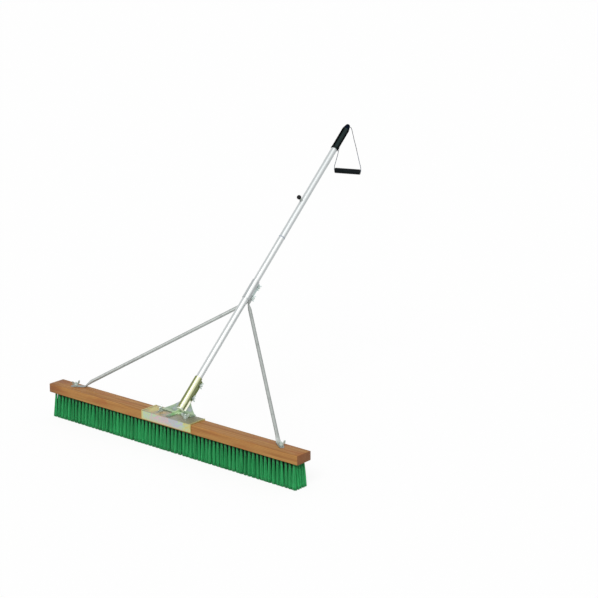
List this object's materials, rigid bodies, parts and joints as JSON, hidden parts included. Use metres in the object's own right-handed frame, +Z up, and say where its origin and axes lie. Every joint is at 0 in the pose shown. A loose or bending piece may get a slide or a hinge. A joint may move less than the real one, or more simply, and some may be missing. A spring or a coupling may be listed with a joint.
{
  "type": "court brush",
  "caption": "Long wooden head with bristle tufts, sheet-steel socket bracket, two stays, a two-length tubular handle with a clamp knob, and a pull bar on a cord.",
  "frame": {"origin": "on the ground under the middle of the head, on the flat tip of the middle tuft", "axes": "+X along the head, to the right as seen from the front; +Y the side the handle leans to; +Z up"},
  "size_m": [1.2, 1.0451, 1.0311],
  "materials": {
    "head_wood": "varnished, reddish brown",
    "bristle": "green filament tufts",
    "chromated_steel": "yellow chromated zinc",
    "zinc_steel": "bright zinc",
    "tube_metal": "satin",
    "collar_plastic": "grey",
    "knob_plastic": "black",
    "grip_rubber": "black, ribbed",
    "nose_plastic": "blue-black",
    "bar_plastic": "black",
    "cord": "laid cord, blue-grey"
  },
  "bodies": {
    "brush_frame": {"head_block": "head_wood", "bristle_bank_1": "bristle", "bristle_bank_2": "bristle", "bristle_bank_3": "bristle", "bristle_bank_4": "bristle", "base_plate": "chromated_steel", "socket_bracket": "chromated_steel", "foot_left_bolt": "zinc_steel", "foot_left_washer": "zinc_steel", "base_left_bolt": "zinc_steel", "base_left_washer": "zinc_steel", "base_right_bolt": "zinc_steel", "base_right_washer": "zinc_steel", "foot_right_bolt": "zinc_steel", "foot_right_washer": "zinc_steel", "lower_tube": "tube_metal", "inner_tube": "tube_metal", "joint_collar": "collar_plastic", "stay_clamp": "zinc_steel", "socket_lower_bolt": "zinc_steel", "socket_upper_bolt": "zinc_steel", "clamp_lower_bolt": "zinc_steel", "clamp_upper_bolt": "zinc_steel", "left_stay": "zinc_steel", "right_stay": "zinc_steel"},
    "upper_handle": {"upper_tube": "tube_metal", "knob_boss": "zinc_steel", "grip": "grip_rubber", "nose_cap": "nose_plastic"},
    "clamp_knob": {"knob_stud": "zinc_steel", "ball_knob": "knob_plastic"},
    "pull_handle": {"cord_bridge": "cord", "left_pull_cord": "cord", "right_pull_cord": "cord", "bar_cord": "cord", "pull_bar": "bar_plastic"},
    "foot_left_nut": {"foot_left_wing_nut": "zinc_steel"},
    "base_left_nut": {"base_left_wing_nut": "zinc_steel"},
    "base_right_nut": {"base_right_wing_nut": "zinc_steel"},
    "foot_right_nut": {"foot_right_wing_nut": "zinc_steel"},
    "socket_lower_nut": {"socket_lower_wing_nut": "zinc_steel"},
    "socket_upper_nut": {"socket_upper_wing_nut": "zinc_steel"},
    "clamp_lower_nut": {"clamp_lower_wing_nut": "zinc_steel"},
    "clamp_upper_nut": {"clamp_upper_wing_nut": "zinc_steel"}
  },
  "joints": [
    {"name": "handle_length", "type": "slide", "parent": "brush_frame", "child": "upper_handle", "axis": [0, 0.7314, 0.682], "range_m": [0, 0.12]},
    {"name": "clamp_knob_turn", "type": "hinge", "parent": "upper_handle", "child": "clamp_knob", "pos_m": [0, 0.71519, 0.77285], "axis": [0, -0.682, 0.7314], "continuous": true},
    {"name": "pull_handle_swing", "type": "hinge", "parent": "upper_handle", "child": "pull_handle", "pos_m": [0, 0.98038, 1.02015], "axis": [1, 0, 0], "range_deg": [-36, 302]},
    {"name": "foot_left_nut_turn", "type": "hinge", "parent": "brush_frame", "child": "foot_left_nut", "pos_m": [-0.497, 0.003, 0.133], "axis": [0, 0, 1], "continuous": true},
    {"name": "base_left_nut_turn", "type": "hinge", "parent": "brush_frame", "child": "base_left_nut", "pos_m": [-0.06, 0, 0.133], "axis": [0, 0, 1], "continuous": true},
    {"name": "base_right_nut_turn", "type": "hinge", "parent": "brush_frame", "child": "base_right_nut", "pos_m": [0.06, 0, 0.133], "axis": [0, 0, 1], "continuous": true},
    {"name": "foot_right_nut_turn", "type": "hinge", "parent": "brush_frame", "child": "foot_right_nut", "pos_m": [0.497, 0.003, 0.133], "axis": [0, 0, 1], "continuous": true},
    {"name": "socket_lower_nut_turn", "type": "hinge", "parent": "brush_frame", "child": "socket_lower_nut", "pos_m": [0.0043, 0.09826, 0.1661], "axis": [1, 0, 0], "continuous": true},
    {"name": "socket_upper_nut_turn", "type": "hinge", "parent": "brush_frame", "child": "socket_upper_nut", "pos_m": [0.0043, 0.13775, 0.20293], "axis": [1, 0, 0], "continuous": true},
    {"name": "clamp_lower_nut_turn", "type": "hinge", "parent": "brush_frame", "child": "clamp_lower_nut", "pos_m": [0.0076, 0.41866, 0.46694], "axis": [1, 0, 0], "continuous": true},
    {"name": "clamp_upper_nut_turn", "type": "hinge", "parent": "brush_frame", "child": "clamp_upper_nut", "pos_m": [0.0043, 0.45231, 0.49831], "axis": [1, 0, 0], "continuous": true}
  ]
}
